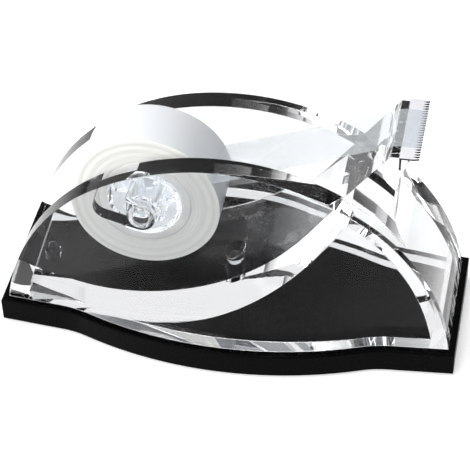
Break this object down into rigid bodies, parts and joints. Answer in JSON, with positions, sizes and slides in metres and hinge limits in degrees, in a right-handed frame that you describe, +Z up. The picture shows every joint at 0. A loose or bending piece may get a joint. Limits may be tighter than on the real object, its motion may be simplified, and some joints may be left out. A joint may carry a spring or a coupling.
{
  "type": "tape dispenser",
  "caption": "Desk tape dispenser: clear arched body on a weighted black base with wavy sides, hub for a small-core roll and a toothed cutting blade.",
  "frame": {"origin": "middle of the underside, on the surface the dispenser stands on", "axes": "+X along the length towards the cutting blade, +Y across the object, +Z up"},
  "size_m": [0.158, 0.0734, 0.0862],
  "materials": {
    "black_plastic": "satin",
    "clear_plastic": "polished clear",
    "hub_plastic": "polished clear",
    "axle_plastic": "polished clear",
    "core_plastic": "clear",
    "tape_roll": "milky translucent",
    "tape_film": "clear film",
    "blade_steel": "bright",
    "screw_steel": "plated",
    "ballast_steel": "rolled",
    "pad_rubber": "matt foam"
  },
  "bodies": {
    "root": {"base_housing": "black_plastic", "ballast_plate": "ballast_steel", "base_cover": "black_plastic", "non_slip_pad": "pad_rubber", "clear_body": "clear_plastic", "cutter_blade": "blade_steel", "tape_tail": "tape_film", "body_screw_rear": "screw_steel", "body_screw_front": "screw_steel", "cover_screw_rear_near": "screw_steel", "cover_screw_rear_far": "screw_steel", "cover_screw_front_near": "screw_steel", "cover_screw_front_far": "screw_steel"},
    "axle": {"axle_pin": "axle_plastic"},
    "hub": {"hub_drum": "hub_plastic", "tape_core": "core_plastic", "tape_winding": "tape_roll"}
  },
  "joints": [
    {"name": "axle_slide", "type": "slide", "parent": "root", "child": "axle", "axis": [-0.9703, 0, 0.2419], "range_m": [0, 0.0116]},
    {"name": "roll_spin", "type": "hinge", "parent": "axle", "child": "hub", "pos_m": [-0.0274, 0, 0.0516], "axis": [0, 1, 0], "continuous": true}
  ]
}
